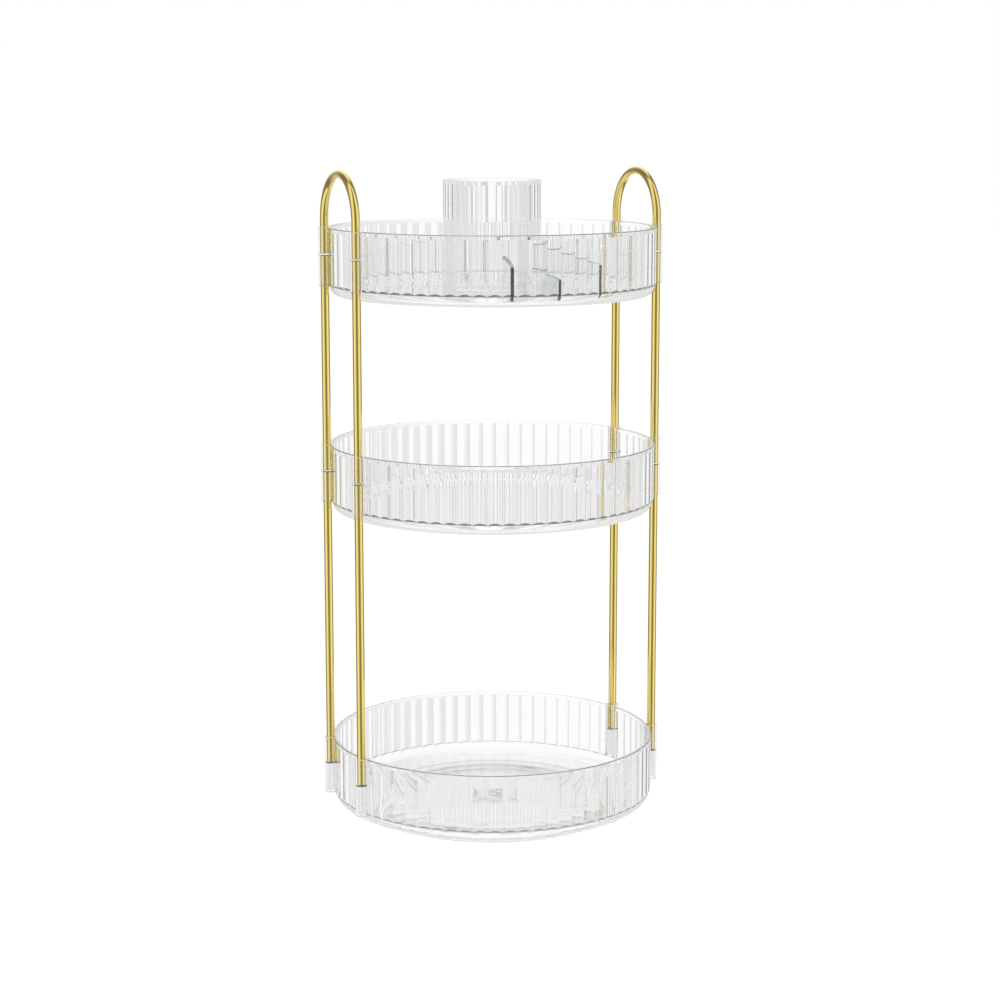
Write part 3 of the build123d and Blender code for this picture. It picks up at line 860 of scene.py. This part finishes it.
def makeFloor():
    # White paper that keeps the object's shadow. Plastic and gold look through it at the sky,
    # and so does a view from below.
    mesh = bpy.data.meshes.new("floor")
    half = studio["floorSize"] / 2
    corners = [(-half, -half, 0), (half, -half, 0), (half, half, 0), (-half, half, 0)]
    mesh.from_pydata(corners, [], [(0, 1, 2, 3)])
    material, tree = newMaterial("floorPaper")
    grey = studio["floorColour"]
    paper = addNode(tree, "ShaderNodeBsdfDiffuse", {"Color": (grey, grey, grey, 1)})
    glow = addNode(tree, "ShaderNodeEmission", {"Color": (1, 1, 1, 1), "Strength": studio["floorGlow"]})
    both = addNode(tree, "ShaderNodeAddShader", {0: paper.outputs[0], 1: glow.outputs[0]})
    path = addNode(tree, "ShaderNodeLightPath")
    bent = mathNode(tree, "MAXIMUM", path.outputs["Is Transmission Ray"], path.outputs["Is Glossy Ray"])
    side = addNode(tree, "ShaderNodeNewGeometry")
    bent = mathNode(tree, "MAXIMUM", bent, side.outputs["Backfacing"])
    through = addNode(tree, "ShaderNodeBsdfTransparent")
    mix = addNode(tree, "ShaderNodeMixShader", {0: bent, 1: both.outputs[0], 2: through.outputs[0]})
    addNode(tree, "ShaderNodeOutputMaterial", {"Surface": mix.outputs[0]})
    mesh.materials.append(material)
    return linked("floor", mesh)


makeFloor()


def makeSky():
    # White to the camera and to scattered light. Rough finishes, gold above all, see three broad bright
    # and dark sides. Clear plastic sees soft upright stripes that fade out downwards and turn grey overhead.
    # What it mirrors, and what is seen through three surfaces or more, has finer stripes that are weaker
    # towards the backdrop and hardly turn grey. Light caught inside sees one plain tone.
    world = bpy.data.worlds.new("studio")
    bpy.context.scene.world = world
    world.use_nodes = True
    tree = world.node_tree
    tree.nodes.clear()
    direction = addNode(tree, "ShaderNodeTexCoord")
    split = addNode(tree, "ShaderNodeSeparateXYZ", {0: direction.outputs["Generated"]})
    bearing = mathNode(tree, "ARCTAN2", split.outputs["Y"], split.outputs["X"])
    path = addNode(tree, "ShaderNodeLightPath")

    def eased(value, low, high, start, end):
        return addNode(tree, "ShaderNodeMapRange", {
            "Value": value, "From Min": low, "From Max": high, "To Min": start, "To Max": end},
            interpolation_type="SMOOTHSTEP").outputs[0]

    def sides(turn, count, low, high, dark, bright):
        offset = mathNode(tree, "SUBTRACT", bearing, math.radians(turn))
        wave = mathNode(tree, "COSINE", mathNode(tree, "MULTIPLY", offset, float(count)))
        return eased(wave, low, high, dark, bright)

    def upwards(low, high, start, end):
        return eased(split.outputs["Z"], low, high, start, end)

    def chosen(factor, plain, other):
        return addNode(tree, "ShaderNodeMix", {"Factor": factor, "A": plain, "B": other},
                       data_type="FLOAT").outputs[0]

    def times(first, second):
        return mathNode(tree, "MULTIPLY", first, second)

    # What plastic sees, as far as direction goes.
    above = mathNode(tree, "MAXIMUM", upwards(studio["greyFrom"], studio["greyTo"], 1.0, studio["greyAbove"]),
                     upwards(studio["topFrom"], studio["topTo"], 0.0, studio["topGlow"]))
    down = upwards(*studio["plainDown"], 1.0, 0.0)
    stripes = sides(studio["stripeTurn"], studio["stripes"], -1.0, studio["stripeEdge"],
                    1 - studio["stripeDepth"], 1.0)
    stripes = chosen(down, stripes, 1.0)
    fine = times(*(sides(studio["fineTurn"], count, -1.0, studio["fineEdge"], 1 - studio["fineDepth"], 1.0)
                   for count in studio["fineStripes"]))
    fine = times(chosen(down, fine, 1.0), chosen(studio["deepPlain"], stripes, 1.0))
    near, far = (math.cos(math.radians(half)) for half in studio["backdropHalf"])
    fine = chosen(sides(studio["backdrop"], 1, far, near, 0.0, studio["backdropShare"]), fine, 1.0)
    deep = mathNode(tree, "MAXIMUM", pathOver(tree, path, "Transmission Depth", thrice),
                    path.outputs["Is Reflection Ray"])
    plastic = chosen(deep, times(stripes, above), times(fine, chosen(studio["deepLift"], above, 1.0)))

    # Each turn inside plastic takes part of the light, up to where it is caught.
    turns = mathNode(tree, "SUBTRACT", path.outputs["Glossy Depth"], 1.0)
    dimmed = mathNode(tree, "POWER", studio["innerBounce"], mathNode(tree, "MAXIMUM", turns, 0.0))
    inside = times(plastic, chosen(times(deep, studio["deepLift"]), dimmed, 1.0))
    caught = pathOver(tree, path, "Glossy Depth", trayPlastic["innerTurns"])
    inside = chosen(caught, inside, studio["innerGlow"])

    # Who looks: the camera and scattered light, clear plastic, or a rough finish.
    metal = sides(studio["goldTurn"], studio["goldSides"], -1.0, 1.0,
                  studio["goldDark"], studio["goldBright"])
    glossy = times(path.outputs["Is Glossy Ray"], path.outputs["Is Reflection Ray"])
    glossy = times(glossy, mathNode(tree, "SUBTRACT", 1.0, path.outputs["Is Singular Ray"]))
    clear = mathNode(tree, "MAXIMUM", path.outputs["Is Transmission Ray"], path.outputs["Is Singular Ray"])
    strength = chosen(clear, studio["white"], inside)
    strength = chosen(glossy, strength, metal)
    plain = mathNode(tree, "MAXIMUM", path.outputs["Is Camera Ray"],
                     pathOver(tree, path, "Diffuse Depth", once))
    strength = chosen(plain, strength, studio["white"])
    sky = addNode(tree, "ShaderNodeBackground", {"Color": (1, 1, 1, 1), "Strength": strength})
    addNode(tree, "ShaderNodeOutputWorld", {"Surface": sky.outputs[0]})


makeSky()

camera = {
    "azimuth": -23.45, "distance": 1.6233, "height": 0.5076, "pitch": 9.844, "yaw": 0.197,
    "lens": 83.10, "sensor": 36.0,
}
keyLamp = {"place": (-1.2, -1.4, 2.2), "target": (0.0, 0.0, 0.2), "size": 1.2, "power": 12.0}


def makeCamera():
    # Stands at distance and azimuth from the axis, looks at it, turned a little and tilted down.
    turn, distance = math.radians(camera["azimuth"]), camera["distance"]
    data = bpy.data.cameras.new("photoView")
    data.lens = camera["lens"]
    data.sensor_width = camera["sensor"]
    view = linked("photoView", data)
    view.location = (distance * math.sin(turn), -distance * math.cos(turn), camera["height"])
    view.rotation_euler = (math.radians(90 - camera["pitch"]), 0, turn - math.radians(camera["yaw"]))
    bpy.context.scene.camera = view


def makeLamp():
    data = bpy.data.lights.new("keyLamp", "AREA")
    data.size = keyLamp["size"]
    data.energy = keyLamp["power"]
    lamp = linked("keyLamp", data)
    lamp.location = keyLamp["place"]
    towards = Vector(keyLamp["target"]) - Vector(keyLamp["place"])
    lamp.rotation_euler = towards.to_track_quat("-Z", "Y").to_euler()
    lamp.visible_transmission = False
    lamp.visible_glossy = False


makeCamera()
makeLamp()

bpy.context.scene.view_settings.view_transform = "Standard"
cycles = bpy.context.scene.cycles
cycles.max_bounces = 24
cycles.transmission_bounces = 24
cycles.glossy_bounces = 16
cycles.transparent_max_bounces = 32
print("studio made")
